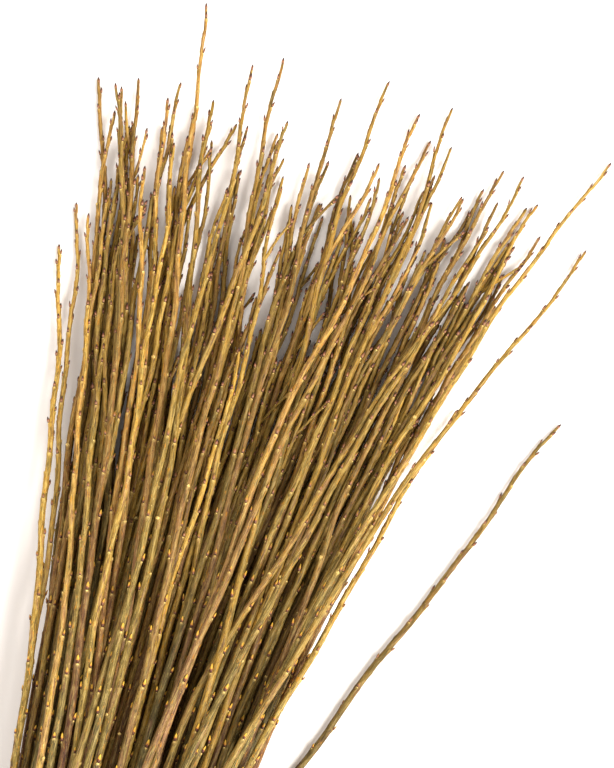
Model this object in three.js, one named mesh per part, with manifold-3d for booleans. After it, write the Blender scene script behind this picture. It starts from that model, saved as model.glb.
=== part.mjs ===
// A tied bundle of cut willow branches, lying on its side.
//
// Millimetres. X runs across the bundle, Y from the cut butts to the tips, and Z is up. While it
// is built, the tie is at y = 0 and the surface that the bundle lies on is at z = 0. At the end
// the group is moved so that the middle of its underside is the origin.
//
// Every branch is a tapering five-sided rod. The branches start from rows of slots under the
// tie, fan out to their tips, and then settle: they push each other apart and sink towards the
// surface until each one lies on the ones below it. The bundle has more branches than a part
// may have nodes, so the outer ones are nodes of their own and the rest are handfuls, whose
// branches are bridged to each other under the tie, where the bridges are hidden.

import * as THREE from 'three';
import { mergeVertices } from 'three/addons/utils/BufferGeometryUtils.js';
import Module from 'manifold-3d';

const manifold = await Module();
manifold.setup();

// ---------------------------------------------------------------- sizes

const BRANCH_COUNT = 176;
const BUTT_RADIUS = 3.7;
const TIP_RADIUS = 0.8;
const RADIUS_SPREAD = 0.08; // thickness differs by up to this share either way
const CLEARANCE = 0.6; // between neighbours, and between the branches and the tie

const BUTT_LENGTH = 130; // from the tie back to the cut ends
const BUTT_RAGGEDNESS = 14; // how far the cut ends differ
const BUTT_SPREAD = 1.1; // how much wider the bundle is at its cut ends than at the tie
const BUTT_WANDER = 2.5; // how far a cut end may lie from its own place

const REACH = 755; // from the tie to the longest tip
const FAN_ANGLE = 15; // degrees that the outer branches lean from the bundle's axis
const FLARE = 1.8; // above 1, the branches bend outwards towards their tips
const SECTION_ASPECT = 1.1; // how much wider than high the bundle is under the tie
const ORDER_SPREAD = 13; // how far out of order the handfuls lean, measured across the tie
const ORDER_LOOSENESS = 8; // the same, among the branches of one handful
const OUTER_ORDER_SPREAD = 28; // the same, among the branches on top and at the edges

const TIE_WIDTH = 26;
const TIE_THICKNESS = 3.4;
const KNOT_LENGTH = 24;
const KNOT_WIDTH = 19;
const KNOT_HEIGHT = 9;

const HANDFUL = 8; // at most this many branches are joined in one node
const BRIDGE_WIDTH = 2.6;
const BRIDGE_LENGTH = 7;
const BRIDGE_OFFSET = 8; // from the middle of the tie

// The branches on top and at the edges, from left to right: how far each leans, as a share of
// FAN_ANGLE, and how far its tip is short of REACH.
const OUTER_TIPS = [
  [-0.95, 185], [-0.81, 160], [-0.73, 135], [-0.71, 65], [-0.62, 120], [-0.54, 60],
  [-0.50, 5], [-0.52, 100], [-0.41, 65], [-0.39, 80], [-0.29, 35], [-0.21, 25],
  [-0.11, 65], [0.03, 40], [0.16, 20], [0.32, 35], [0.39, 50], [0.42, 25],
  [0.47, 50], [0.65, 55], [0.73, 55], [0.72, 95], [0.83, 70], [0.88, 90],
  [0.96, 30], [1.07, 90], [0.97, 215],
];
// One branch has slipped out of the fan: it runs straight, under the others, and leaves on the
// right.
const STRAY_TIP = [1.37, 205];
const STRAY_FLARE = 1;

// The hidden branches lie between the outer ones, and most of them end a little lower.
const INNER_FAN = 0.86; // share of FAN_ANGLE that they fill
const INNER_LEAN_SPREAD = 0.05;
const INNER_SHORTFALL_LEAST = 70;
const INNER_SHORTFALL_MOST = 240;
const INNER_SHORTFALL_BIAS = 1.4; // above 1, more of them end high up

const BARK = { color: 0x84683e, roughness: 0.75, metalness: 0 };
const TWINE = { color: 0xa98a58, roughness: 0.95, metalness: 0 };

// ---------------------------------------------------------------- chance, repeatable

function seededRandom(seed) {
  let state = seed;
  return () => {
    state = (state + 0x6d2b79f5) | 0;
    let mixed = Math.imul(state ^ (state >>> 15), 1 | state);
    mixed = (mixed + Math.imul(mixed ^ (mixed >>> 7), 61 | mixed)) ^ mixed;
    return ((mixed ^ (mixed >>> 14)) >>> 0) / 4294967296;
  };
}

const random = seededRandom(20);
const randomBetween = (low, high) => low + (high - low) * random();

// ---------------------------------------------------------------- the branches' slots and tips

const STATIONS = 8; // rings along a branch: its butt, the tie, and equal steps to the tip
const TIE_STATION = 1;

// A stem's thickness follows the square root of what is left of its length.
function radiusAt(y, tipY, thickness) {
  const left = (tipY - y) / (tipY + BUTT_LENGTH);
  return thickness * (TIP_RADIUS + (BUTT_RADIUS - TIP_RADIUS) * Math.sqrt(Math.max(left, 0)));
}

const THICKEST_AT_TIE = radiusAt(0, REACH, 1 + RADIUS_SPREAD);
const SLOT_SPACING = 2 * THICKEST_AT_TIE + CLEARANCE;
const ROW_SPACING = SLOT_SPACING * Math.sin(Math.PI / 3);
const LOWEST_SLOT = TIE_THICKNESS + CLEARANCE + THICKEST_AT_TIE;

// Under the tie the branches are packed in staggered rows, inside an oval.
function packedSlots() {
  const rows = Math.ceil(Math.sqrt(BRANCH_COUNT));
  const slots = [];
  for (let row = -rows; row <= rows; row += 1) {
    for (let column = -rows; column <= rows; column += 1) {
      const halfSteps = 2 * column + (row % 2 === 0 ? 0 : 1);
      const x = (halfSteps * SLOT_SPACING) / 2;
      const z = row * ROW_SPACING;
      slots.push({ row, halfSteps, x, z, off: Math.hypot(x / SECTION_ASPECT, z) });
    }
  }
  slots.sort((a, b) => a.off - b.off || a.z - b.z || a.x - b.x);
  const kept = slots.slice(0, BRANCH_COUNT);
  const lowestRow = Math.min(...kept.map((slot) => slot.row));
  for (const slot of kept) slot.z = LOWEST_SLOT + (slot.row - lowestRow) * ROW_SPACING;
  return kept;
}

// The slots with the fewest others above them in their own column are the outer ones, as seen
// from above.
function outerSlots(slots) {
  const above = (slot) => slots
    .filter(({ halfSteps, row }) => halfSteps === slot.halfSteps && row > slot.row).length;
  const outer = [...slots].sort((a, b) => above(a) - above(b) || b.z - a.z);
  return outer.slice(0, OUTER_TIPS.length);
}

// A handful is a short zigzag stack of slots, one above another, so its branches lean alike.
function gatherHandfuls(slots) {
  const stacks = new Map();
  for (const slot of [...slots].sort((a, b) => a.row - b.row)) {
    const stack = Math.floor(slot.halfSteps / 2);
    stacks.set(stack, [...(stacks.get(stack) ?? []), slot]);
  }
  const handfuls = [];
  for (const stack of [...stacks.keys()].sort((a, b) => a - b)) {
    const runs = [];
    for (const slot of stacks.get(stack)) {
      const run = runs[runs.length - 1];
      if (run && slot.row - run[run.length - 1].row === 1) run.push(slot);
      else runs.push([slot]);
    }
    for (const run of runs) {
      const count = Math.ceil(run.length / HANDFUL);
      for (let part = 0; part < count; part += 1) {
        const start = Math.round((part * run.length) / count);
        const end = Math.round(((part + 1) * run.length) / count);
        handfuls.push(run.slice(start, end));
      }
    }
  }
  return handfuls;
}

// Where a handful or an outer branch comes in the order of leaning, from left to right.
function shuffleOrder(handful, spread) {
  const shift = randomBetween(-1, 1) * spread;
  for (const slot of handful) {
    slot.order = slot.x + shift + randomBetween(-1, 1) * ORDER_LOOSENESS;
  }
}

function makeBranch(slot, [leanShare, shortfall], flare = FLARE) {
  const tipY = REACH - shortfall;
  const tipX = tipY * Math.tan(THREE.MathUtils.degToRad(leanShare * FAN_ANGLE));
  const buttY = -BUTT_LENGTH + randomBetween(-0.5, 0.5) * BUTT_RAGGEDNESS;
  const thickness = 1 + randomBetween(-1, 1) * RADIUS_SPREAD;
  const wander = { x: randomBetween(-1, 1) * BUTT_WANDER, z: randomBetween(0, 1) * BUTT_WANDER };
  const stations = [];
  for (let k = 0; k < STATIONS; k += 1) {
    const along = (k - TIE_STATION) / (STATIONS - 1 - TIE_STATION);
    const y = k < TIE_STATION ? buttY : along * tipY;
    const radius = radiusAt(y, tipY, thickness);
    if (k < TIE_STATION) {
      const x = BUTT_SPREAD * slot.x + wander.x;
      const z = LOWEST_SLOT + BUTT_SPREAD * (slot.z - LOWEST_SLOT) + wander.z;
      stations.push({ x, y, z, homeX: x, homeZ: z, radius });
    } else {
      const x = slot.x + (tipX - slot.x) * along ** flare;
      stations.push({ x, y, z: slot.z, homeX: x, radius });
    }
  }
  return { slot, stations };
}

// Returns the single branches and the handfuls, as lists of branches.
function makeBranches() {
  const slots = packedSlots();
  const outer = outerSlots(slots);
  const lowest = slots.filter((slot) => slot.z === LOWEST_SLOT);
  const middle = lowest.reduce((a, b) => (Math.abs(b.x) < Math.abs(a.x) ? b : a));
  const inner = slots.filter((slot) => !outer.includes(slot) && slot !== middle);
  const handfuls = gatherHandfuls(inner);

  outer.forEach((slot) => shuffleOrder([slot], OUTER_ORDER_SPREAD));
  outer.sort((a, b) => a.order - b.order);
  const singles = OUTER_TIPS.map((tip, index) => makeBranch(outer[index], tip));
  singles.push(makeBranch(middle, STRAY_TIP, STRAY_FLARE));

  // The others spread evenly: their order across the tie sets how far they lean.
  handfuls.forEach((handful) => shuffleOrder(handful, ORDER_SPREAD));
  inner.sort((a, b) => a.order - b.order);
  const fromInner = (slot) => {
    const share = (2 * (inner.indexOf(slot) + 0.5)) / inner.length - 1;
    const lean = share * INNER_FAN + randomBetween(-1, 1) * INNER_LEAN_SPREAD;
    const shortfall = INNER_SHORTFALL_LEAST
      + (INNER_SHORTFALL_MOST - INNER_SHORTFALL_LEAST) * random() ** INNER_SHORTFALL_BIAS;
    return makeBranch(slot, [lean, shortfall]);
  };
  return { singles, handfuls: handfuls.map((handful) => handful.map(fromInner)) };
}

// ---------------------------------------------------------------- settling

const PLANE_STEP = 6; // the branches are kept apart at upright planes this far apart
const SETTLING_ROUNDS = 420;
const PARTING_ROUNDS = 480; // these come last and only part what still touches
const LOOKUP_ROUNDS = 20; // contacts are looked up again after this many rounds
const NEAR = 4 * BUTT_RADIUS; // branches further apart than this are not in contact
const SINKING = 0.9; // mm per round at first
const HOMING = 0.05; // share of the way back towards its own line, per round
const STIFFNESS = 0.18; // share of a bend that straightens, per round
const CROSSING_ZONE = 0.7; // share of the distance kept, within which crossing branches lift
const LEAST_GRIP = 0.3; // a crossing next to the tie is not moved further than this allows
const LEAST_DISTANCE = 1e-6;

// Where a branch crosses the upright plane at y: between which stations, and how far along.
function crossingAt({ stations }, y) {
  const last = stations.length - 1;
  if (y < stations[0].y || y > stations[last].y) return null;
  let k = 0;
  while (k < last - 1 && stations[k + 1].y < y) k += 1;
  const share = (y - stations[k].y) / (stations[k + 1].y - stations[k].y);
  const radius = THREE.MathUtils.lerp(stations[k].radius, stations[k + 1].radius, share);
  return { y, k, share, radius };
}

function pointAt(branch, crossing, axis) {
  const { stations } = branch;
  return THREE.MathUtils.lerp(
    stations[crossing.k][axis], stations[crossing.k + 1][axis], crossing.share);
}

// Moves the stations either side of a crossing so that the crossing itself moves by dx, dz.
// The station under the tie is held.
function nudge(branch, crossing, dx, dz) {
  const before = crossing.k === TIE_STATION ? 0 : 1 - crossing.share;
  const after = crossing.k + 1 === TIE_STATION ? 0 : crossing.share;
  const grip = Math.max(before * before + after * after, LEAST_GRIP);
  const near = branch.stations[crossing.k];
  const far = branch.stations[crossing.k + 1];
  near.x += (dx * before) / grip;
  near.z += (dz * before) / grip;
  far.x += (dx * after) / grip;
  far.z += (dz * after) / grip;
}

// Two branches can meet at every plane that crosses both, and where the shorter one ends. Two
// that change sides on the way to their tips pass over and under each other.
function findPairs(branches, planes) {
  const pairs = [];
  for (let i = 0; i < branches.length; i += 1) {
    for (let j = 0; j < i; j += 1) {
      const [a, b] = [branches[i], branches[j]];
      const start = Math.max(a.stations[0].y, b.stations[0].y);
      const end = Math.min(a.stations[STATIONS - 1].y, b.stations[STATIONS - 1].y);
      const places = [start, end].map((y) => ({ one: crossingAt(a, y), two: crossingAt(b, y) }));
      for (let p = 0; p < planes.length; p += 1) {
        if (a.crossings[p] && b.crossings[p]) {
          places.push({ one: a.crossings[p], two: b.crossings[p] });
        }
      }
      const ordered = places.filter(({ one }) => one.y > 0).sort((p, q) => p.one.y - q.one.y);
      const side = ({ one, two }) => Math.sign(pointAt(a, one, 'x') - pointAt(b, two, 'x'));
      const crosses = side(ordered[0]) !== side(ordered[ordered.length - 1]);
      const upper = Math.sign(a.height - b.height) || 1;
      pairs.push({ a, b, places, upper: crosses ? upper : 0 });
    }
  }
  return pairs;
}

// The places where two branches come near each other, looked up again now and then.
function findContacts(pairs) {
  const contacts = [];
  for (const { a, b, places, upper } of pairs) {
    for (const { one, two } of places) {
      if (Math.abs(pointAt(a, one, 'x') - pointAt(b, two, 'x')) > NEAR) continue;
      if (Math.abs(pointAt(a, one, 'z') - pointAt(b, two, 'z')) > NEAR) continue;
      const apart = one.radius + two.radius + CLEARANCE;
      contacts.push({ a, b, one, two, upper: one.y > 0 ? upper : 0, apart });
    }
  }
  return contacts;
}

function partContact({ a, b, one, two, upper, apart }) {
  const dx = pointAt(a, one, 'x') - pointAt(b, two, 'x');
  const dz = pointAt(a, one, 'z') - pointAt(b, two, 'z');
  const distance = Math.hypot(dx, dz) || LEAST_DISTANCE;
  if (upper !== 0 && Math.abs(dx) < CROSSING_ZONE * apart && upper * dz < apart / 2) {
    const lift = Math.sqrt(apart * apart - dx * dx) - upper * dz;
    nudge(a, one, 0, (upper * lift) / 2);
    nudge(b, two, 0, (-upper * lift) / 2);
    return;
  }
  if (distance >= apart) return;
  const push = (apart - distance) / (2 * distance);
  nudge(a, one, dx * push, dz * push);
  nudge(b, two, -dx * push, -dz * push);
}

function keepAboveSurface(branches) {
  for (const { stations } of branches) {
    for (const station of stations) station.z = Math.max(station.z, station.radius);
  }
}

function sinkAndStraighten(branches, sinking) {
  for (const { stations } of branches) {
    for (let k = 0; k < STATIONS; k += 1) {
      if (k === TIE_STATION) continue;
      const here = stations[k];
      here.x += HOMING * (here.homeX - here.x);
      if (k < TIE_STATION) here.z += HOMING * (here.homeZ - here.z);
      else here.z -= sinking;
      const before = stations[k - 1];
      const after = stations[k + 1];
      if (!before || !after) continue;
      const share = (here.y - before.y) / (after.y - before.y);
      here.z += STIFFNESS * (THREE.MathUtils.lerp(before.z, after.z, share) - here.z);
    }
  }
}

function settle(branches) {
  const planes = [];
  for (let y = -BUTT_LENGTH - BUTT_RAGGEDNESS; y < REACH; y += PLANE_STEP) planes.push(y);
  for (const branch of branches) {
    branch.crossings = planes.map((y) => crossingAt(branch, y));
    branch.height = branch.slot.z;
  }
  const pairs = findPairs(branches, planes);
  let contacts = [];
  const rounds = SETTLING_ROUNDS + PARTING_ROUNDS;
  for (let round = 0; round < rounds; round += 1) {
    if (round % LOOKUP_ROUNDS === 0) contacts = findContacts(pairs);
    const settling = Math.max(1 - round / SETTLING_ROUNDS, 0);
    if (settling > 0) sinkAndStraighten(branches, SINKING * settling);
    contacts.forEach(partContact);
    keepAboveSurface(branches);
  }
}

// ---------------------------------------------------------------- solids

const SECTION_SIDES = 5;

function sectionShape() {
  const corners = [];
  for (let side = 0; side < SECTION_SIDES; side += 1) {
    const angle = (2 * Math.PI * side) / SECTION_SIDES - Math.PI / 2;
    corners.push(new THREE.Vector2(Math.cos(angle), Math.sin(angle)));
  }
  return new THREE.Shape(corners);
}

// An extruded rod one unit long per station, whose rings are then moved to the stations.
function rodGeometry(stations) {
  const steps = stations.length - 1;
  const rod = new THREE.ExtrudeGeometry(sectionShape(), { depth: steps, steps, bevelEnabled: false });
  const { position } = rod.attributes;
  for (let v = 0; v < position.count; v += 1) {
    const { x, y, z, radius } = stations[Math.round(position.getZ(v))];
    position.setXYZ(v, x - radius * position.getX(v), y, z + radius * position.getY(v));
  }
  return rod;
}

function bridgeGeometry(from, to) {
  const crossing = (branch) => {
    const [near, far] = [branch.stations[TIE_STATION], branch.stations[TIE_STATION + 1]];
    const share = (BRIDGE_OFFSET - near.y) / (far.y - near.y);
    return new THREE.Vector3(
      THREE.MathUtils.lerp(near.x, far.x, share),
      BRIDGE_OFFSET,
      THREE.MathUtils.lerp(near.z, far.z, share));
  };
  const start = crossing(from);
  const end = crossing(to);
  const bridge = new THREE.BoxGeometry(start.distanceTo(end), BRIDGE_LENGTH, BRIDGE_WIDTH);
  bridge.rotateY(-Math.atan2(end.z - start.z, end.x - start.x));
  const middle = start.add(end).multiplyScalar(0.5);
  return bridge.translate(middle.x, middle.y, middle.z);
}

const WELD_DISTANCE = 1e-5;

function toSolid(geometry) {
  const bare = geometry.clone();
  bare.deleteAttribute('normal');
  bare.deleteAttribute('uv');
  const merged = mergeVertices(bare, WELD_DISTANCE);
  return new manifold.Manifold(new manifold.Mesh({
    numProp: 3,
    vertProperties: new Float32Array(merged.attributes.position.array),
    triVerts: new Uint32Array(merged.index.array),
  }));
}

function toGeometry(solid) {
  const { vertProperties, triVerts } = solid.getMesh();
  const geometry = new THREE.BufferGeometry();
  geometry.setAttribute('position', new THREE.BufferAttribute(vertProperties, 3));
  geometry.setIndex(new THREE.BufferAttribute(triVerts, 1));
  return geometry;
}

function handfulGeometry(branches) {
  let solid = toSolid(rodGeometry(branches[0].stations));
  for (let index = 1; index < branches.length; index += 1) {
    solid = solid.add(toSolid(rodGeometry(branches[index].stations)));
    solid = solid.add(toSolid(bridgeGeometry(branches[index - 1], branches[index])));
  }
  return toGeometry(solid);
}

// ---------------------------------------------------------------- the tie

const OUTLINE_STEPS = 20; // points around each branch that the tie's outline is drawn from
const LEAST_BEND = 1e-3; // mm², a corner of the outline that bends less than this is left out
const KNOT_SIDES = 12;
const KNOT_RINGS = 8;

function crossProduct(o, a, b) {
  return (a.x - o.x) * (b.y - o.y) - (a.y - o.y) * (b.x - o.x);
}

function convexOutline(points) {
  const sorted = [...points].sort((a, b) => a.x - b.x || a.y - b.y);
  const chain = (ordered) => {
    const corners = [];
    for (const point of ordered) {
      while (corners.length > 1
        && crossProduct(corners[corners.length - 2], corners[corners.length - 1], point) <= LEAST_BEND) {
        corners.pop();
      }
      corners.push(point);
    }
    corners.pop();
    return corners;
  };
  return [...chain(sorted), ...chain(sorted.reverse())];
}

// The taut line around all the branches wherever the tie covers them, moved out by a margin and
// pressed flat at the level of the floor below.
function tautOutline(branches, margin, floor) {
  const points = [];
  for (const { stations } of branches) {
    const tie = stations[TIE_STATION];
    for (const [neighbour, side] of [[stations[0], -1], [stations[2], 1]]) {
      const share = ((side * TIE_WIDTH) / 2 - tie.y) / (neighbour.y - tie.y);
      for (const at of [0, share]) {
        const x = THREE.MathUtils.lerp(tie.x, neighbour.x, at);
        const z = THREE.MathUtils.lerp(tie.z, neighbour.z, at);
        for (let step = 0; step < OUTLINE_STEPS; step += 1) {
          const angle = (2 * Math.PI * step) / OUTLINE_STEPS;
          const out = tie.radius + margin;
          points.push(new THREE.Vector2(
            x + out * Math.cos(angle), Math.max(z + out * Math.sin(angle), floor)));
        }
      }
    }
  }
  return convexOutline(points);
}

function tieGeometry(branches) {
  const outside = tautOutline(branches, CLEARANCE + TIE_THICKNESS, 0);
  const inside = tautOutline(branches, CLEARANCE, TIE_THICKNESS);
  const shape = new THREE.Shape(outside);
  shape.holes.push(new THREE.Path(inside));
  const band = new THREE.ExtrudeGeometry(shape, { depth: TIE_WIDTH, bevelEnabled: false });
  band.rotateX(Math.PI / 2);
  return band.translate(0, TIE_WIDTH / 2, 0);
}

function knotGeometry(tieTop) {
  const knot = new THREE.SphereGeometry(0.5, KNOT_SIDES, KNOT_RINGS);
  knot.scale(KNOT_WIDTH, KNOT_LENGTH, KNOT_HEIGHT);
  return knot.translate(0, 0, tieTop + CLEARANCE + KNOT_HEIGHT / 2);
}

// ---------------------------------------------------------------- the bundle

function namedMesh(name, geometry, finish) {
  geometry.computeVertexNormals();
  const mesh = new THREE.Mesh(geometry, new THREE.MeshStandardMaterial(finish));
  mesh.name = name;
  return mesh;
}

const twoDigits = (number) => String(number).padStart(2, '0');

const { singles, handfuls } = makeBranches();
const branches = [...singles, ...handfuls.flat()];
settle(branches);

const group = new THREE.Group();
singles.forEach((branch, index) => {
  group.add(namedMesh(`branch_${twoDigits(index + 1)}`, rodGeometry(branch.stations), BARK));
});
handfuls.forEach((handful, index) => {
  group.add(namedMesh(`handful_${twoDigits(index + 1)}`, handfulGeometry(handful), BARK));
});

const tie = tieGeometry(branches);
tie.computeBoundingBox();
group.add(namedMesh('twine_tie', tie, TWINE));
group.add(namedMesh('twine_knot', knotGeometry(tie.boundingBox.max.z), TWINE));

const box = new THREE.Box3().setFromObject(group);
const middle = box.getCenter(new THREE.Vector3());
group.position.set(-middle.x, -middle.y, -box.min.z);

export default group;
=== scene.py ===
"""A bundle of willow branches, tied with jute twine and lying on a pale floor. Metres, Z up."""

import math
import random

import bpy
import numpy as np
from mathutils import Matrix, Vector


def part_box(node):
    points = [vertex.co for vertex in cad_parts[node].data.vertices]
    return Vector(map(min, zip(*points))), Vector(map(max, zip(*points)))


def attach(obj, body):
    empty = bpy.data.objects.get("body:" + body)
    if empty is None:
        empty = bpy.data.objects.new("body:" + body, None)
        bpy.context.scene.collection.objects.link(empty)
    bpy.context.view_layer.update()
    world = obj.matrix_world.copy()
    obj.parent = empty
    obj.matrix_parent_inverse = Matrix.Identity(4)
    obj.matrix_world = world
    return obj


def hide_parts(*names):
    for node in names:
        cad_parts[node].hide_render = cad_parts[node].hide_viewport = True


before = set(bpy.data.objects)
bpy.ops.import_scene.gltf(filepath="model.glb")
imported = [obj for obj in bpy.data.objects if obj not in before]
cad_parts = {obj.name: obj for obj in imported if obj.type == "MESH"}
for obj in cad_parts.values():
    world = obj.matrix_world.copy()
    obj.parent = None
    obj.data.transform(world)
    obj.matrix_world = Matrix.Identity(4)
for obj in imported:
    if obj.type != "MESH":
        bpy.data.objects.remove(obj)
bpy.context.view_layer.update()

MM = 0.001

# ---------------------------------------------------------------- the branches' sizes

STEM_LENGTH = 885 * MM
BUTT_RADIUS = 3.7 * MM
TIP_RADIUS = 0.95 * MM
STEM_SIDES = 9
PATTERN_STEMS = 8  # different stems that are modelled; every branch is a copy of one of them
FORKED_FROM = 7  # the last pattern has a side twig
RING_STEP = 6.5 * MM  # longest stretch of stem without a ring

BUD_GAP_LOW = 27 * MM  # between buds near the butt
BUD_GAP_HIGH = 9 * MM  # between buds near the tip
BUD_TURN = math.radians(138)  # each bud stands this far round from the one below
BUD_LENGTH = 5.0 * MM
LOST_BUDS = 0.45  # share of the buds that have fallen off, near the butt
LEDGE = 0.28 * MM  # how far the stem swells under a bud
SWELL_START = 4.5 * MM  # the stem starts to swell this far below a bud
SWELL_TOP = 1.2 * MM  # it is thickest this far below the bud
SWELL_END = 0.6 * MM  # and is thin again this far past it
ZIGZAG = 0.55 * MM  # how far a thin stem steps aside at each bud

ROUTE_STEP = 8 * MM
SWAY = 3.2 * MM  # how far the branches wave at their tips
LIFT = 1.3 * MM  # buds hold a branch this far off the floor
SLIMNESS = 0.84  # share of the CAD's thickness, which leaves room for the buds

chance = random.Random(11)


def between(low, high):
    return chance.uniform(low, high)


# ---------------------------------------------------------------- small helpers

def deselect():
    if bpy.context.object and bpy.context.object.mode != "OBJECT":
        bpy.ops.object.mode_set(mode="OBJECT")
    bpy.ops.object.select_all(action="DESELECT")


def pick(*objects):
    """Selects these objects; the first is the active one."""
    deselect()
    for thing in objects:
        thing.select_set(True)
    bpy.context.view_layer.objects.active = objects[0]


def settle_transform(thing):
    pick(thing)
    bpy.ops.object.transform_apply(location=True, rotation=True, scale=True)


def join(things):
    pick(*things)
    if len(things) > 1:
        bpy.ops.object.join()
    return bpy.context.object


def corner_points(mesh):
    points = np.empty(len(mesh.vertices) * 3)
    mesh.vertices.foreach_get("co", points)
    return points.reshape(-1, 3)


def point_values(mesh, name, kind="FLOAT"):
    return mesh.attributes.get(name) or mesh.attributes.new(name, kind, "POINT")


def set_floats(mesh, name, values):
    point_values(mesh, name).data.foreach_set("value", np.asarray(values, np.float32))


def set_vectors(mesh, name, values):
    flat = np.asarray(values, np.float32).ravel()
    point_values(mesh, name, "FLOAT_VECTOR").data.foreach_set("vector", flat)


# ---------------------------------------------------------------- shader maths

class Value:
    """A socket, so that shader maths reads as an expression. Each operator adds its Math node."""

    def __init__(self, paint, socket):
        self.paint = paint
        self.socket = socket

    def math(self, operation, *others):
        return self.paint.math(operation, self, *others)

    def __add__(self, other):
        return self.math("ADD", other)

    def __sub__(self, other):
        return self.math("SUBTRACT", other)

    def __mul__(self, other):
        return self.math("MULTIPLY", other)


class Paint:
    """One material and the nodes in it."""

    def __init__(self, name):
        self.material = bpy.data.materials.new(name)
        self.material.use_nodes = True
        self.tree = self.material.node_tree
        self.tree.nodes.clear()

    def node(self, kind, settings=None, inputs=None, output=0):
        """Any node: its settings are set first, then its sockets get values or links."""
        made = self.tree.nodes.new(kind)
        for key, value in (settings or {}).items():
            if key == "stops":
                self._set_stops(made.color_ramp, value)
            else:
                setattr(made, key, value)
        for key, value in (inputs or {}).items():
            if isinstance(value, Value):
                self.tree.links.new(value.socket, made.inputs[key])
            else:
                made.inputs[key].default_value = value
        return Value(self, made.outputs[output]) if made.outputs else None

    @staticmethod
    def _set_stops(ramp, stops):
        while len(ramp.elements) < len(stops):
            ramp.elements.new(1)
        for element, (place, colour) in zip(ramp.elements, stops):
            element.position = place
            element.color = (*colour, 1)

    def math(self, operation, *values):
        return self.node("ShaderNodeMath", {"operation": operation}, dict(enumerate(values)))

    def attribute(self, name, output="Vector"):
        return self.node("ShaderNodeAttribute", {"attribute_name": name}, output=output)

    def part(self, vector, axis):
        return self.node("ShaderNodeSeparateXYZ", {}, {0: vector}, output=axis)

    def vector(self, operation, first, second):
        return self.node("ShaderNodeVectorMath", {"operation": operation}, {0: first, 1: second})

    def noise(self, place, scale, detail=2.0, roughness=0.5):
        return self.node("ShaderNodeTexNoise", {"noise_dimensions": "3D"},
                         {"Vector": place, "Scale": scale, "Detail": detail,
                          "Roughness": roughness})

    def ramp(self, value, *stops):
        return self.node("ShaderNodeValToRGB", {"stops": stops}, {0: value})

    def fade(self, value, low, high, bottom=0.0, top=1.0):
        """Runs smoothly from bottom to top as value goes from low to high."""
        return self.node("ShaderNodeMapRange", {"interpolation_type": "SMOOTHSTEP"},
                         {"Value": value, "From Min": low, "From Max": high,
                          "To Min": bottom, "To Max": top})

    def mix(self, share, first, second, blend="MIX"):
        colours = [(*c, 1) if isinstance(c, tuple) else c for c in (first, second)]
        return self.node("ShaderNodeMix", {"data_type": "RGBA", "blend_type": blend},
                         {0: share, 6: colours[0], 7: colours[1]}, output=2)

    def finish(self, colour, roughness, height=None, depth=0.0, **constants):
        inputs = {"Base Color": colour, "Roughness": roughness}
        inputs.update({key.replace("_", " "): value for key, value in constants.items()})
        if height is not None:
            inputs["Normal"] = self.node("ShaderNodeBump", {},
                                         {"Height": height, "Distance": depth})
        surface = self.node("ShaderNodeBsdfPrincipled", {}, inputs)
        self.node("ShaderNodeOutputMaterial", {}, {"Surface": surface})
        return self.material


# ---------------------------------------------------------------- materials

GOLD = (0.62, 0.335, 0.04)
KHAKI = (0.43, 0.27, 0.055)
TAN = (0.53, 0.355, 0.105)
OLIVE = (0.21, 0.145, 0.03)
SLATE_GREEN = (0.15, 0.14, 0.06)
INK = (0.018, 0.020, 0.016)
ROSY_BROWN = (0.35, 0.165, 0.08)
CHESTNUT = (0.15, 0.043, 0.018)
DARK_PLUM = (0.026, 0.009, 0.008)
CREAM = (0.87, 0.63, 0.21)
YELLOW = (0.85, 0.52, 0.05)
ORANGE = (0.66, 0.27, 0.02)
PALE_WOOD = (0.78, 0.63, 0.38)


def bark_place(paint):
    """Where a point is on its straight stem, in millimetres, with an offset for each branch."""
    mood = paint.attribute("mood")
    stem = paint.vector("MULTIPLY", paint.attribute("on_stem"), (1000, 1000, 1000))
    shift = paint.vector("MULTIPLY", mood, (0, 0, 900))
    return mood, stem, paint.vector("ADD", stem, shift)


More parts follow.
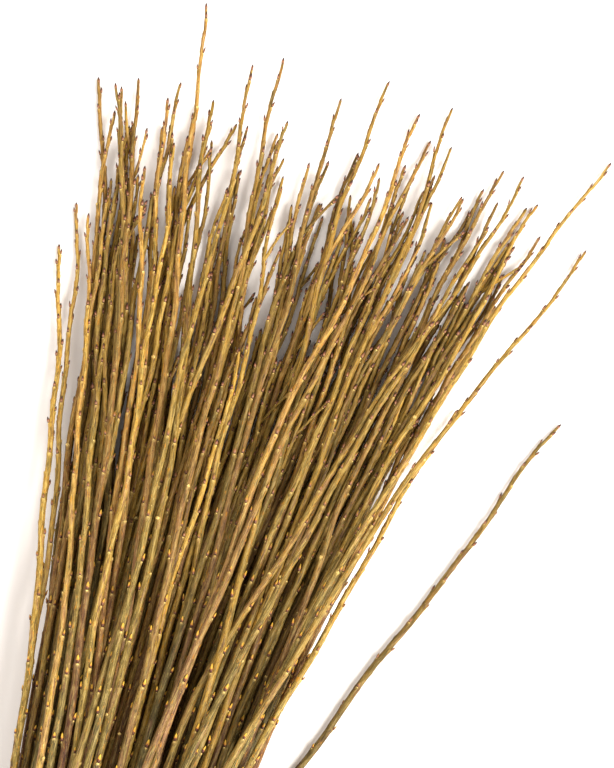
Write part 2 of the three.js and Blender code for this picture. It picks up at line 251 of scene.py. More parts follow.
def make_bark():
    paint = Paint("willow_bark")
    mood, stem, place = bark_place(paint)
    family = paint.part(mood, 0)
    tone_and_painted_shade = paint.part(mood, 1)
    upwards = paint.part(stem, 0) * (MM / STEM_LENGTH)

    def streaked(along, across, detail, shift=0.0):
        moved = paint.vector("ADD", place, (shift, shift, shift))
        return paint.noise(paint.vector("MULTIPLY", moved, (along, across, across)), 1.0, detail,
                           0.62)

    drift = streaked(0.018, 0.10, 3.0)
    tone = family + (drift - 0.5) * 0.5
    body = paint.ramp(tone, (0.0, SLATE_GREEN), (0.2, OLIVE), (0.38, KHAKI), (0.48, GOLD),
                      (0.56, TAN), (0.68, KHAKI), (0.8, ROSY_BROWN), (0.95, CHESTNUT))
    body = paint.mix(paint.fade(upwards, 0.4, 0.9) * 0.6, body, GOLD)

    patches = streaked(0.05, 0.30, 4.0, 50.0)
    body = paint.mix(paint.fade(patches, 0.54, 0.62) * 0.7, body, OLIVE)
    body = paint.mix(paint.fade(patches, 0.45, 0.37) * 0.65, body, ROSY_BROWN)
    mould = streaked(0.16, 0.5, 4.0, 90.0)
    low_down = paint.fade(upwards, 0.85, 0.35)
    body = paint.mix(paint.fade(mould, 0.57, 0.66) * low_down * 0.85, body, INK)

    ribs = streaked(0.07, 0.75, 3.0, 20.0)
    body = paint.mix(paint.fade(ribs, 0.54, 0.63) * 0.35, body, CREAM)
    body = paint.mix(paint.fade(ribs, 0.46, 0.37) * 0.5, body, DARK_PLUM)
    fibres = streaked(0.13, 1.7, 3.0)
    body = paint.mix(paint.fade(fibres, 0.55, 0.63) * 0.4, body, CREAM)
    body = paint.mix(paint.fade(fibres, 0.46, 0.38) * 0.6, body, DARK_PLUM)
    rust = streaked(0.16, 0.7, 3.0, 130.0)
    body = paint.mix(paint.fade(rust, 0.62, 0.66) * 0.85, body, ORANGE)
    flakes = streaked(0.5, 1.1, 2.0, 210.0)
    body = paint.mix(paint.fade(flakes, 0.68, 0.71) * 0.8, body, CREAM)
    specks = streaked(0.8, 1.3, 2.0, 170.0)
    body = paint.mix(paint.fade(specks, 0.65, 0.68) * 0.8, body, DARK_PLUM)

    ledge = paint.attribute("ledge", "Fac")
    body = paint.mix(paint.fade(ledge, 0.5, 0.95) * 0.45, body, CREAM)
    # Each branch is darkened by a value of its own. This is partly random tone and partly painted
    # shade, since the branches inside the handfuls get darker values than the outer ones.
    body = paint.mix(1.0, body, paint.ramp(tone_and_painted_shade, (0, (0.32,) * 3), (1, (0.95,) * 3)),
                     "MULTIPLY")

    wrinkles = ribs * 0.6 + fibres * 0.4
    return paint.finish(body, paint.fade(fibres, 0.3, 0.7, 0.62, 0.46), wrinkles, 0.45 * MM,
                        Specular_IOR_Level=0.15)


def make_bud_scale():
    paint = Paint("bud_scale")
    _, stem, place = bark_place(paint)
    upwards = paint.part(stem, 0) * (MM / STEM_LENGTH)
    reach = paint.attribute("bud_reach", "Fac")
    grain = paint.noise(place, 1.1, 2.0)
    ripe = reach + (grain - 0.5) * 0.6
    low_bud = paint.ramp(ripe, (0.0, DARK_PLUM), (0.38, CHESTNUT), (0.46, ORANGE),
                         (0.62, GOLD), (1.0, YELLOW))
    high_bud = paint.ramp(ripe, (0.0, DARK_PLUM), (0.3, ROSY_BROWN), (0.5, CHESTNUT),
                          (0.75, DARK_PLUM))
    colour = paint.mix(paint.fade(upwards, 0.5, 0.85), low_bud, high_bud)
    return paint.finish(colour, 0.45, grain, 0.15 * MM, Specular_IOR_Level=0.3)


def make_leaf_scar():
    paint = Paint("leaf_scar")
    _, _, place = bark_place(paint)
    grain = paint.noise(place, 1.6, 3.0)
    colour = paint.ramp(grain, (0.3, CHESTNUT), (0.45, KHAKI), (0.6, CREAM))
    return paint.finish(colour, 0.7, grain, 0.12 * MM)


def make_cut_wood():
    paint = Paint("cut_wood")
    mood, stem, place = bark_place(paint)
    across = paint.vector("MULTIPLY", stem, (0, 1, 1))
    out = paint.node("ShaderNodeVectorMath", {"operation": "LENGTH"}, {0: across}, "Value")
    fibres = paint.noise(place, 2.4, 4.0, 0.7)
    years = paint.math("SINE", out * 5.2 + fibres * 2.0)
    wood = paint.mix(paint.fade(years, -1.0, 1.0) * 0.35, PALE_WOOD, KHAKI)
    wood = paint.mix(paint.fade(fibres, 0.55, 0.75) * 0.4, wood, CHESTNUT)
    wood = paint.mix(paint.fade(out, 1.0, 0.6), wood, (0.20, 0.12, 0.05))
    return paint.finish(wood, 0.75, fibres, 0.2 * MM)


def make_twine_fibre():
    paint = Paint("jute_fibre")
    place = paint.vector("MULTIPLY", paint.attribute("on_twine"), (1000, 1000, 1000))
    fibres = paint.noise(paint.vector("MULTIPLY", place, (0.5, 3.2, 3.2)), 1.0, 5.0, 0.7)
    wear = paint.noise(place, 0.12, 3.0)
    jute = paint.ramp(fibres, (0.25, (0.17, 0.10, 0.045)), (0.5, (0.42, 0.28, 0.14)),
                      (0.75, (0.66, 0.50, 0.30)))
    jute = paint.mix(paint.fade(wear, 0.45, 0.7) * 0.35, jute, (0.30, 0.19, 0.09))
    return paint.finish(jute, 0.9, fibres, 0.35 * MM)


def make_floor_white():
    paint = Paint("pale_floor")
    place = paint.node("ShaderNodeTexCoord", output="Object")
    mottle = paint.noise(place, 9.0, 3.0)
    colour = paint.ramp(mottle, (0.3, (0.93, 0.89, 0.855)), (0.7, (0.94, 0.90, 0.87)))
    return paint.finish(colour, 0.8)


BARK = make_bark()
BUD_SCALE = make_bud_scale()
LEAF_SCAR = make_leaf_scar()
CUT_WOOD = make_cut_wood()
STEM_MATERIALS = (BARK, BUD_SCALE, LEAF_SCAR, CUT_WOOD)
BARK_SLOT, BUD_SLOT, SCAR_SLOT, WOOD_SLOT = range(4)

# ---------------------------------------------------------------- texture layout

UV_NAME = "OFBake"
STRIPS = 6  # the stem's skin is cut into this many lengths, laid side by side
STRIP_MARGIN = 0.07
STEM_BOX = (0.0, 0.15, 0.9, 1.0)  # left, bottom, right, top
TWIG_BOX = (0.905, 0.15, 0.95, 1.0)
BUD_BOX = (0.0, 0.0, 0.87, 0.14)
BUD_COLUMNS, BUD_ROWS = 14, 6
BUD_SHARE = (0.0, 0.0, 0.66, 1.0)  # of its cell; the scar under it has the rest
SCAR_SHARE = (0.68, 0.0, 1.0, 1.0)
CUT_BOX = (0.88, 0.0, 1.0, 0.14)


def into_box(uv, box):
    left, bottom, right, top = box
    return np.column_stack([left + uv[:, 0] * (right - left), bottom + uv[:, 1] * (top - bottom)])


def bud_cell(number):
    """One cell of the buds' part of the layout, with a little space round it."""
    left, bottom, right, top = BUD_BOX
    wide = (right - left) / BUD_COLUMNS
    high = (top - bottom) / BUD_ROWS
    x = left + wide * (number % BUD_COLUMNS)
    y = bottom + high * (number // BUD_COLUMNS % BUD_ROWS)
    return x + 0.04 * wide, y + 0.06 * high, x + 0.96 * wide, y + 0.94 * high


def loop_facts(mesh):
    """For each face corner: its point, its face, and the centre of that face."""
    points = corner_points(mesh)
    corner = np.empty(len(mesh.loops), int)
    mesh.loops.foreach_get("vertex_index", corner)
    totals = np.empty(len(mesh.polygons), int)
    mesh.polygons.foreach_get("loop_total", totals)
    face = np.repeat(np.arange(len(totals)), totals)
    centre = np.array([np.bincount(face, points[corner, k]) for k in range(3)]).T / totals[:, None]
    return points[corner], face, centre


def write_uv(mesh, uv):
    layer = mesh.uv_layers.get(UV_NAME) or mesh.uv_layers.new(name=UV_NAME)
    layer.uv.foreach_set("vector", np.asarray(uv, np.float32).ravel())


def read_uv(mesh):
    uv = np.empty(len(mesh.loops) * 2, np.float32)
    mesh.uv_layers[UV_NAME].uv.foreach_get("vector", uv)
    return uv.reshape(-1, 2)


def wrap_uv(mesh, length, strips, box):
    """Unrolls a rod that lies along X into strips side by side, and its end faces flat."""
    at, face, centre = loop_facts(mesh)
    middle = centre[face]
    turn = np.arctan2(at[:, 2], at[:, 1])
    face_turn = np.arctan2(middle[:, 2], middle[:, 1])
    round_off = (turn - face_turn + math.pi) % (2 * math.pi) - math.pi
    around = (face_turn + math.pi + round_off) / (2 * math.pi)
    strip = np.clip(np.floor(middle[:, 0] / length * strips), 0, strips - 1)
    along = at[:, 0] / length * strips - strip
    margin = 1 + 2 * STRIP_MARGIN
    uv = np.column_stack([(strip + (around + STRIP_MARGIN) / margin) / strips,
                          (along + STRIP_MARGIN) / margin])
    return into_box(uv, box)


# ---------------------------------------------------------------- modelling a shoot

def grow_rod(name, rings, sides):
    """A closed rod along X. Each ring is (x, y, z, radius); the last one is the tip."""
    x, y, z, radius = rings[0]
    deselect()
    bpy.ops.mesh.primitive_circle_add(vertices=sides, radius=radius, fill_type="NGON",
                                      location=(x, y, z), rotation=(0, math.pi / 2, 0))
    rod = bpy.context.object
    rod.name = name
    bpy.ops.object.mode_set(mode="EDIT")
    for before, after in zip(rings, rings[1:]):
        step = tuple(b - a for a, b in zip(before[:3], after[:3]))
        bpy.ops.mesh.extrude_region_move(TRANSFORM_OT_translate={"value": step})
        grow = after[3] / before[3]
        bpy.ops.transform.resize(value=(1, grow, grow), center_override=after[:3])
    bpy.ops.mesh.select_all(action="SELECT")
    bpy.ops.mesh.normals_make_consistent(inside=False)
    bpy.ops.object.mode_set(mode="OBJECT")
    settle_transform(rod)
    return rod


def dress(thing, slot):
    """Gives a rod the stem's materials, all its faces in one slot."""
    for material in STEM_MATERIALS:
        thing.data.materials.append(material)
    thing.data.polygons.foreach_set("material_index", [slot] * len(thing.data.polygons))
    pick(thing)
    bpy.ops.object.shade_smooth()


def model_bud():
    """One bud, pointing along X, with its flat side down on the stem."""
    profile = ((0.0, 0.6), (0.14, 1.0), (0.4, 1.12), (0.68, 0.84), (0.88, 0.46), (1.0, 0.1))
    rings = [(share * BUD_LENGTH, 0, 0, radius * MM) for share, radius in profile]
    bud = grow_rod("bud", rings, 6)
    bud.scale = (1, 1, 0.8)
    settle_transform(bud)
    dress(bud, BUD_SLOT)
    set_floats(bud.data, "bud_reach", corner_points(bud.data)[:, 0] / BUD_LENGTH)
    write_uv(bud.data, wrap_uv(bud.data, BUD_LENGTH, 1, BUD_SHARE))
    return bud


def model_leaf_scar():
    """The pale cushion under a bud, where the leaf stood."""
    deselect()
    bpy.ops.mesh.primitive_uv_sphere_add(segments=8, ring_count=4, radius=1 * MM,
                                         rotation=(0, math.pi / 2, 0))
    scar = bpy.context.object
    scar.name = "leaf_scar"
    bpy.ops.object.mode_set(mode="EDIT")
    bpy.ops.transform.resize(value=(0.85, 1.2, 0.62))
    bpy.ops.object.mode_set(mode="OBJECT")
    settle_transform(scar)
    dress(scar, SCAR_SLOT)
    write_uv(scar.data, wrap_uv(scar.data, 2 * MM, 1, SCAR_SHARE))
    set_floats(scar.data, "bud_reach", np.zeros(len(scar.data.vertices)))
    return scar


def stem_radius(share, butt_radius, tip_radius):
    """A stem's thickness follows the square root of what is left of its length."""
    return tip_radius + (butt_radius - tip_radius) * math.sqrt(max(1 - share, 0))


def place_buds(length, first, low_gap, high_gap):
    """Where the buds stand along a shoot, and how far round: closer together near the tip."""
    buds = []
    x = first
    turn = between(0, 2 * math.pi)
    while x < length - 4 * MM:
        buds.append((x, turn))
        share = x / length
        x += (low_gap + (high_gap - low_gap) * share ** 1.2) * between(0.72, 1.3)
        turn += BUD_TURN + between(-0.35, 0.35)
    return buds


def shoot_rings(length, butt_radius, tip_radius, buds):
    """The rings of a shoot: it steps a little aside at every bud and swells under it."""
    rings = []
    y = z = 0.0

    def ring(x, swell=0.0, turn=0.0):
        radius = stem_radius(x / length, butt_radius, tip_radius) * between(0.985, 1.015)
        rings.append((x, y + swell * math.cos(turn), z + swell * math.sin(turn), radius + swell))

    def fill_to(x):
        start = rings[-1][0]
        count = int((x - start) / RING_STEP)
        for step in range(1, count + 1):
            ring(start + (x - start) * step / (count + 1))

    ring(0.0)
    for x, turn in buds:
        fill_to(x - SWELL_START)
        thin = 1 - stem_radius(x / length, butt_radius, tip_radius) / butt_radius
        if x - SWELL_START > rings[-1][0] + 1 * MM:
            ring(x - SWELL_START, 0.12 * LEDGE, turn)
        if x - SWELL_TOP > rings[-1][0] + 0.5 * MM:
            ring(x - SWELL_TOP, LEDGE, turn)
        y = 0.45 * y - ZIGZAG * thin * math.cos(turn)
        z = 0.45 * z - ZIGZAG * thin * math.sin(turn)
        ring(x + SWELL_END, 0.1 * LEDGE, turn)
    fill_to(length)
    ring(length - 0.4 * MM)
    last = rings[-1]
    rings.append((length, last[1], last[2], 0.35 * last[3]))
    return rings


def set_on_shoot(piece, x, turn, out, tilt, size, cell):
    """Copies a bud or scar to its place on a shoot and its layout to a cell of its own."""
    copy = bpy.data.objects.new(piece.name, piece.data.copy())
    bpy.context.collection.objects.link(copy)
    place = (Matrix.Translation((x, 0, 0)) @ Matrix.Rotation(turn - math.pi / 2, 4, "X")
             @ Matrix.Translation((0, 0, out)) @ Matrix.Rotation(-tilt, 4, "Y")
             @ Matrix.Diagonal((*size, 1)))
    copy.data.transform(place)
    write_uv(copy.data, into_box(read_uv(copy.data), cell))
    return copy


def paint_ledges(mesh, buds, length, butt_radius, tip_radius):
    """Marks the swelling under each bud, so that the bark is pale there."""
    at = corner_points(mesh)
    turn = np.arctan2(at[:, 2], at[:, 1])
    marked = np.zeros(len(at))
    for x, bud_turn in buds:
        near = np.exp(-(((at[:, 0] - x + 1.6 * MM) / (2.2 * MM)) ** 2))
        facing = np.clip(np.cos(turn - bud_turn), 0, 1) ** 2
        marked = np.maximum(marked, near * facing)
    set_floats(mesh, "ledge", marked)
    set_vectors(mesh, "on_stem", at)


def model_shoot(name, length, butt_radius, tip_radius, buds, strips, box, lost_share):
    """A shoot along X with its buds, made of the rod and copies of one bud and one scar."""
    shoot = grow_rod(name, shoot_rings(length, butt_radius, tip_radius, buds), STEM_SIDES)
    dress(shoot, BARK_SLOT)
    write_uv(shoot.data, wrap_uv(shoot.data, length, strips, box))
    set_floats(shoot.data, "bud_reach", np.zeros(len(shoot.data.vertices)))
    pieces = [shoot]
    for number, (x, turn) in enumerate(buds):
        radius = stem_radius(x / length, butt_radius, tip_radius)
        cell = bud_cell(number)
        size = between(0.95, 1.4) * (1 - 0.25 * x / length)
        fallen = chance.random() < lost_share * (1 - x / length)
        wide = 1.35 if fallen else 0.85
        scar_size = (size * wide, size * wide, 0.85 * size)
        pieces.append(set_on_shoot(leaf_scar, x - 0.7 * MM, turn, radius + 0.15 * MM, 0,
                                   scar_size, cell))
        if not fallen:
            tilt = math.radians(between(4, 15))
            pieces.append(set_on_shoot(bud, x - 0.2 * MM, turn, radius + 0.25 * MM, tilt,
                                       (size, size, size), cell))
    end_cell = bud_cell(len(buds))
    pieces.append(set_on_shoot(bud, length - 3.2 * MM, 0, 0, 0, (1, 1.1, 1.3), end_cell))
    return join(pieces)


def cut_butt(stem):
    """The sawn end: a bevelled rim, a ring of wood and the pith."""
    pick(stem)
    bpy.ops.object.mode_set(mode="EDIT")
    bpy.ops.mesh.select_all(action="DESELECT")
    bpy.ops.object.mode_set(mode="OBJECT")
    for face in stem.data.polygons:
        face.select = face.center.x < 1e-5 and face.normal.x < -0.9
        if face.select:
            face.material_index = WOOD_SLOT
    bpy.ops.object.mode_set(mode="EDIT")
    bpy.ops.mesh.inset(thickness=0.35 * MM, depth=0.12 * MM)
    bpy.ops.mesh.inset(thickness=1.6 * MM, depth=0)
    bpy.ops.mesh.inset(thickness=1.2 * MM, depth=-0.15 * MM)
    bpy.ops.object.mode_set(mode="OBJECT")
    at, face, centre = loop_facts(stem.data)
    uv = read_uv(stem.data)
    slots = np.empty(len(stem.data.polygons), int)
    stem.data.polygons.foreach_get("material_index", slots)
    sawn = slots[face] == WOOD_SLOT
    flat = 0.5 + at[sawn][:, 1:] / (2.3 * BUTT_RADIUS)
    uv[sawn] = into_box(flat, CUT_BOX)
    write_uv(stem.data, uv)


def add_twig(stem):
    """A short side twig near the tip."""
    length = between(25, 45) * MM
    x = STEM_LENGTH * between(0.87, 0.95)
    turn = between(0.15, 0.6) if chance.random() < 0.5 else math.pi - between(0.15, 0.6)
    buds = place_buds(length, 7 * MM, 11 * MM, 7 * MM)
    twig = model_shoot("twig", length, 1.25 * MM, 0.65 * MM, buds, 1, TWIG_BOX, 0.0)
    lean = math.radians(between(18, 28))
    radius = stem_radius(x / STEM_LENGTH, BUTT_RADIUS, TIP_RADIUS)
    twig.data.transform(Matrix.Translation((x, 0, 0)) @ Matrix.Rotation(turn, 4, "X")
                        @ Matrix.Translation((0, 0.3 * radius, 0))
                        @ Matrix.Rotation(lean, 4, "Z"))
    return join([stem, twig])


def model_stem(number):
    buds = place_buds(STEM_LENGTH, between(20, 40) * MM, BUD_GAP_LOW, BUD_GAP_HIGH)
    stem = model_shoot(f"pattern_stem_{number}", STEM_LENGTH, BUTT_RADIUS, TIP_RADIUS, buds,
                       STRIPS, STEM_BOX, LOST_BUDS)
    cut_butt(stem)
    if number >= FORKED_FROM:
        stem = add_twig(stem)
    paint_ledges(stem.data, buds, STEM_LENGTH, BUTT_RADIUS, TIP_RADIUS)
    stem.name = f"pattern_stem_{number}"
    return stem


# ---------------------------------------------------------------- the branches' routes

tie_low, tie_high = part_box("twine_tie")
TIE_PLACE = (tie_low + tie_high) / 2
BRIDGE_ZONE = (2 * MM, 16 * MM)  # ahead of the tie, where a handful's branches are bridged


def read_branches(node):
    """The branches in a CAD node, each as its rings' centres and radii from butt to tip."""
    mesh = node.data
    points, same = np.unique(np.round(corner_points(mesh), 6), axis=0, return_inverse=True)
    edges = np.empty(len(mesh.edges) * 2, int)
    mesh.edges.foreach_get("vertices", edges)
    edges = same.ravel()[edges].reshape(-1, 2)
    ahead = points[:, 1] - TIE_PLACE.y
    bridged = (ahead > BRIDGE_ZONE[0]) & (ahead < BRIDGE_ZONE[1])

    group = list(range(len(points)))

    def leader(index):
        while group[index] != index:
            group[index] = group[group[index]]
            index = group[index]
        return index

    for a, b in edges:
        if not bridged[a] and not bridged[b]:
            group[leader(a)] = leader(b)

    members = {}
    for index in np.flatnonzero(~bridged):
        members.setdefault(leader(index), []).append(index)
    branches = []
    for indices in members.values():
        own = points[indices]
        rings = [own[np.isclose(own[:, 1], y, atol=1e-5)] for y in np.unique(own[:, 1].round(5))]
        centres = np.array([ring.mean(0) for ring in rings])
        radii = np.array([np.linalg.norm(ring - ring.mean(0), axis=1).mean() for ring in rings])
        branches.append((centres, radii))
    return sorted(branches, key=lambda branch: tuple(branch[0][0]))


def smooth_route(centres, radii):
    """Points along a branch: a smooth curve through its ring centres, with a slight sway."""
    y = centres[:, 1]
    slopes = np.gradient(centres, y, axis=0)
    count = int((y[-1] - y[0]) / ROUTE_STEP) + 1
    at = np.linspace(y[0], y[-1], count)
    k = np.clip(np.searchsorted(y, at, side="right") - 1, 0, len(y) - 2)
    gap = y[k + 1] - y[k]
    t = ((at - y[k]) / gap)[:, None]
    gap = gap[:, None]
    route = ((1 + 2 * t) * (1 - t) ** 2 * centres[k] + t * (1 - t) ** 2 * gap * slopes[k]
             + t ** 2 * (3 - 2 * t) * centres[k + 1] - t ** 2 * (1 - t) * gap * slopes[k + 1])
    share = (at - y[0]) / (y[-1] - y[0])
    sway = SWAY * share ** 2.2
    for axis, amount in ((0, 1.0), (2, 0.45)):
        for wave, weight in ((between(150, 240) * MM, 0.7), (between(55, 95) * MM, 0.3)):
            phase = between(0, 2 * math.pi)
            route[:, axis] += amount * weight * sway * np.sin(2 * math.pi * at / wave + phase)
    radius = np.interp(at, y, radii)
    over = route[:, 2] - radius
    route[:, 2] = radius + np.maximum(over, 0) + LIFT * np.exp(-np.maximum(over, 0) / (4 * MM))
    return route


def bend_along(piece, route, twist_mode):
    """Bends a piece that lies along X, and is as long as the route, onto the route."""
    data = bpy.data.curves.new("path", "CURVE")
    data.dimensions = "3D"
    data.twist_mode = twist_mode
    line = data.splines.new("POLY")
    line.points.add(len(route) - 1)
    line.points.foreach_set("co", np.column_stack([route, np.ones(len(route))]).ravel())
    path = bpy.data.objects.new("path", data)
    bpy.context.collection.objects.link(path)
    bend = piece.modifiers.new("bend", "CURVE")
    bend.object = path
    bend.deform_axis = "POS_X"
    pick(piece)
    bpy.ops.object.modifier_apply(modifier=bend.name)
    bpy.data.objects.remove(path)


def route_length(route):
    return float(np.linalg.norm(np.diff(route, axis=0), axis=1).sum())


def grid_cell(place, columns):
    """One square of a texture that is shared by the branches of a handful."""
    size = 1 / columns
    left = size * (place % columns)
    bottom = size * (place // columns)
    return left + 0.01 * size, bottom + 0.01 * size, left + 0.99 * size, bottom + 0.99 * size


def make_branch(number, centres, radii, tone_and_painted_shade):
    """One branch: a copy of a pattern stem, stretched to its own size and bent to its route."""
    pattern = patterns[number]
    route = smooth_route(centres, radii)
    share = (TIE_PLACE.y - centres[0][1]) / (centres[-1][1] - centres[0][1])
    thickness = SLIMNESS * radii[1] / stem_radius(share, BUTT_RADIUS, TIP_RADIUS)
    branch = bpy.data.objects.new("branch", pattern.data.copy())
    bpy.context.collection.objects.link(branch)
    branch.scale = (route_length(route) / STEM_LENGTH, thickness, thickness)
    turn = between(0, 2 * math.pi) if number < FORKED_FROM else between(-0.1, 0.1)
    branch.rotation_euler = (turn, 0, 0)
    settle_transform(branch)
    bend_along(branch, route, "Z_UP")
    # The mood holds the branch's colour family, its darkness (random tone and painted shade) and
    # an offset for its bark patterns.
    mood = (between(0.0, 1.0), between(*tone_and_painted_shade), between(0, 1))
    set_vectors(branch.data, "mood", np.tile(mood, (len(branch.data.vertices), 1)))
    return branch


bud = model_bud()
leaf_scar = model_leaf_scar()
patterns = [model_stem(number) for number in range(PATTERN_STEMS)]

for node_name, node in sorted(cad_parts.items()):
    if node_name.startswith("twine"):
        continue
    routes = read_branches(node)
    # Painted shade: the branches inside a handful get a darker range than the single outer
    # branches, as if the pile shaded them.
    tone_and_painted_shade = (0.15, 0.85) if len(routes) == 1 else (0.0, 0.75)
    kinds = FORKED_FROM if len(routes) == 1 else PATTERN_STEMS  # outer branches have no twig
    branches = [make_branch(chance.randrange(kinds), centres, radii, tone_and_painted_shade)
                for centres, radii in routes]
    columns = math.ceil(math.sqrt(len(branches)))
    for place, branch in enumerate(branches):
        write_uv(branch.data, into_box(read_uv(branch.data), grid_cell(place, columns)))
    bunch = join(branches)
    bunch.name = "willow_" + node_name
    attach(bunch, "root")
    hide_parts(node_name)

for spare in (bud, leaf_scar, *patterns):
    bpy.data.objects.remove(spare)

# ---------------------------------------------------------------- the twine

PLIES = 3
PLY_RADIUS = 0.92 * MM
PLY_OFFSET = 0.86 * MM  # from the middle of the twine to the middle of a ply
PLY_SIDES = 6
TWINE_RADIUS = PLY_OFFSET + PLY_RADIUS
TWIST_LENGTH = 11 * MM  # the plies go once round in this length
TWIST_STEPS = 7
TURNS = 7  # round the bundle
JUTE = make_twine_fibre()


def unroll_twine(mesh, length, strips):
    """Lays each ply's skin flat, cut into lengths, with the plies side by side."""
    at, face, centre = loop_facts(mesh)
    points = corner_points(mesh)

    def untwist(place):
        turn = -2 * math.pi * place[:, 0] / TWIST_LENGTH
        y = place[:, 1] * np.cos(turn) - place[:, 2] * np.sin(turn)
        z = place[:, 1] * np.sin(turn) + place[:, 2] * np.cos(turn)
        return y, z

    y, z = untwist(at)
    middle_y, middle_z = untwist(centre)
    ply = np.round(np.arctan2(middle_z, middle_y) / (2 * math.pi) * PLIES).astype(int) % PLIES
    ply = ply[face]
    ply_y = PLY_OFFSET * np.cos(2 * math.pi * ply / PLIES)
    ply_z = PLY_OFFSET * np.sin(2 * math.pi * ply / PLIES)
    turn = np.arctan2(z - ply_z, y - ply_y)
    face_turn = np.arctan2(middle_z[face] - ply_z, middle_y[face] - ply_y)
    around = (turn - face_turn + math.pi) % (2 * math.pi) - math.pi + face_turn + math.pi
    around = around / (2 * math.pi)
    strip = np.clip(np.floor(centre[face][:, 0] / length * strips), 0, strips - 1)
    along = at[:, 0] / length * strips - strip
    margin = 1 + 2 * STRIP_MARGIN
    column = strip * PLIES + ply
    write_uv(mesh, np.column_stack([(column + (around + STRIP_MARGIN) / margin) / strips / PLIES,
                                    (along + STRIP_MARGIN) / margin]))
    set_vectors(mesh, "on_twine", points)


def twist_twine(name, length, strips):
    """A straight stretch of twine along X: three round plies, screwed round each other."""
    plies = []
    for number in range(PLIES):
        angle = 2 * math.pi * number / PLIES
        deselect()
        bpy.ops.mesh.primitive_circle_add(
            vertices=PLY_SIDES, radius=PLY_RADIUS, rotation=(0, math.pi / 2, 0),
            location=(0, PLY_OFFSET * math.cos(angle), PLY_OFFSET * math.sin(angle)))
        settle_transform(bpy.context.object)
        plies.append(bpy.context.object)
    twine = join(plies)
    twine.name = name
    twist = twine.modifiers.new("twist", "SCREW")
    twist.axis = "X"
    twist.angle = 2 * math.pi * length / TWIST_LENGTH
    twist.screw_offset = length
    twist.steps = twist.render_steps = math.ceil(length / TWIST_LENGTH * TWIST_STEPS)
    pick(twine)
    bpy.ops.object.modifier_apply(modifier=twist.name)
    bpy.ops.object.mode_set(mode="EDIT")
    bpy.ops.mesh.select_all(action="DESELECT")
    bpy.ops.mesh.select_mode(type="VERT")
    bpy.ops.mesh.select_non_manifold()
    bpy.ops.mesh.edge_face_add()
    bpy.ops.mesh.select_all(action="SELECT")
    bpy.ops.mesh.normals_make_consistent(inside=False)
    bpy.ops.object.mode_set(mode="OBJECT")
    unroll_twine(twine.data, length, strips)
    twine.data.materials.append(JUTE)
    pick(twine)
    bpy.ops.object.shade_smooth()
    return twine


def lay_twine(name, route, strips, node_name):
    twine = twist_twine(name, route_length(route), strips)
    bend_along(twine, route, "MINIMUM")
    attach(twine, "root")
    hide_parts(node_name)


def winding_route():
    """Round and round the bundle, just inside the outside of the CAD's tie."""
    outline = corner_points(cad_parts["twine_tie"].data)[:, (0, 2)]
    middle = np.array([TIE_PLACE.x, TIE_PLACE.z])
    facing = np.radians(np.arange(0, 360, 2))
    normals = np.column_stack([np.cos(facing), np.sin(facing)])
    reach = ((outline - middle) @ normals.T).max(0) - TWINE_RADIUS
    angles = np.linspace(0, 2 * math.pi * TURNS, 72 * TURNS) + math.pi / 2
    lean = np.cos(angles[:, None] - facing[None, :])
    out = np.where(lean > 0.05, reach / np.maximum(lean, 0.05), np.inf).min(1)
    spread = (tie_high.y - tie_low.y) / 2 - TWINE_RADIUS
    y = TIE_PLACE.y + np.linspace(-spread, spread, len(angles))
    return np.column_stack([middle[0] + out * np.cos(angles), y,
                            middle[1] + out * np.sin(angles)])


def knot_route():
    """A half knot with two short ends, on top of the tie."""
    low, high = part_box("twine_knot")
    middle = np.array((low + high) / 2)
    size = np.array(high - low) - 2 * TWINE_RADIUS
    t = np.linspace(-0.82 * math.pi, 0.82 * math.pi, 90)
    loop = np.column_stack([np.sin(t) + 2 * np.sin(2 * t), np.cos(t) - 2 * np.cos(2 * t),
                            -np.sin(3 * t)])
    loop = middle + loop / np.array([5.2, 6.0, 2.0]) * size
    ends = []
    for first, second, drop in ((loop[0], loop[1], -1), (loop[-1], loop[-2], 1)):
        aim = (first - second) / np.linalg.norm(first - second)
        steps = np.arange(1, 9)[:, None] * 2.2 * MM
        ends.append(first + aim * steps + np.array([0.2 * drop, 0, -9.0]) * steps ** 2)
    return np.vstack([ends[0][::-1], loop, ends[1]])


lay_twine("twine_winding", winding_route(), 12, "twine_tie")
lay_twine("twine_knot_loops", knot_route(), 3, "twine_knot")

# ---------------------------------------------------------------- floor, light and camera

FLOOR_SIZE = 6.0


def lay_floor():
    deselect()
    bpy.ops.mesh.primitive_plane_add(size=FLOOR_SIZE, location=(TIE_PLACE.x, 0, 0))
    floor = bpy.context.object
    floor.name = "floor"
    floor.data.materials.append(make_floor_white())


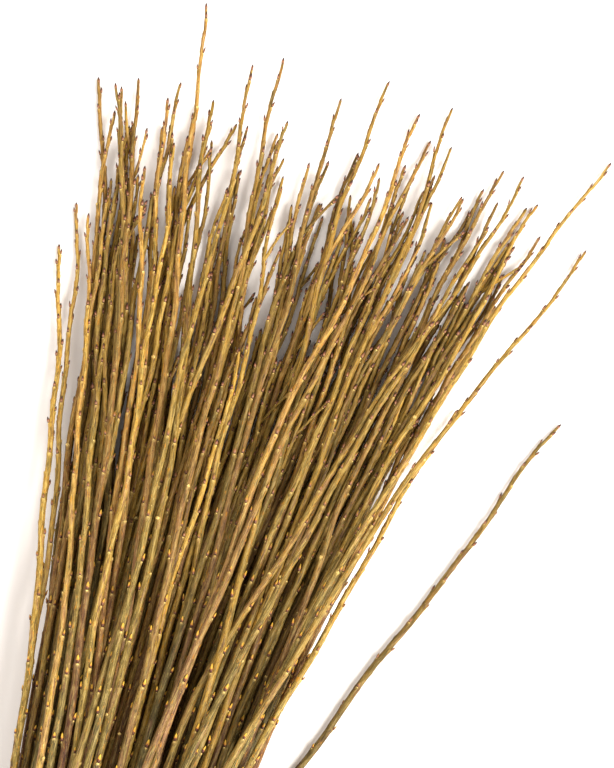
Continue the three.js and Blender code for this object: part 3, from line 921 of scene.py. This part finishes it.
def add_softbox(name, place, target, size, watts, colour):
    data = bpy.data.lights.new(name, "AREA")
    data.shape = "SQUARE"
    data.size = size
    data.energy = watts
    data.color = colour
    lamp = bpy.data.objects.new(name, data)
    bpy.context.collection.objects.link(lamp)
    lamp.location = place
    lamp.rotation_euler = (Vector(target) - Vector(place)).to_track_quat("-Z", "Y").to_euler()


VIEW_TURN = math.radians(16.5)
VIEW_MIDDLE = Vector((TIE_PLACE.x + 38 * MM, TIE_PLACE.y + 529 * MM, 0))
VIEW_RIGHT = Vector((math.cos(VIEW_TURN), math.sin(VIEW_TURN), 0))
VIEW_UP = Vector((-math.sin(VIEW_TURN), math.cos(VIEW_TURN), 0))


def from_view(right, up, height):
    return VIEW_MIDDLE + right * VIEW_RIGHT + up * VIEW_UP + Vector((0, 0, height))


def light_studio():
    add_softbox("key", from_view(1.5, -0.7, 1.7), VIEW_MIDDLE, 1.7, 128, (1.0, 0.98, 0.945))
    add_softbox("fill", from_view(-1.4, 0.9, 1.8), VIEW_MIDDLE, 2.2, 36, (1.0, 0.96, 0.92))
    world = bpy.data.worlds.new("studio")
    world.use_nodes = True
    backdrop = world.node_tree.nodes["Background"]
    backdrop.inputs["Color"].default_value = (1.0, 0.965, 0.93, 1)
    backdrop.inputs["Strength"].default_value = 0.72
    bpy.context.scene.world = world
    bpy.context.scene.view_settings.view_transform = "Standard"


CAMERA_HEIGHT = 1.65
FOCUS_HEIGHT = 30 * MM  # above the floor
VIEW_HEIGHT = 499 * MM  # what the camera sees from top to bottom at that height
SENSOR = 36.0


def set_camera():
    data = bpy.data.cameras.new("camera")
    data.sensor_width = SENSOR
    data.lens = SENSOR * (CAMERA_HEIGHT - FOCUS_HEIGHT) / VIEW_HEIGHT
    data.clip_end = 20
    camera = bpy.data.objects.new("camera", data)
    bpy.context.collection.objects.link(camera)
    camera.location = from_view(0, 0, CAMERA_HEIGHT)
    camera.rotation_euler = (0, 0, VIEW_TURN)
    bpy.context.scene.camera = camera


lay_floor()
light_studio()
set_camera()
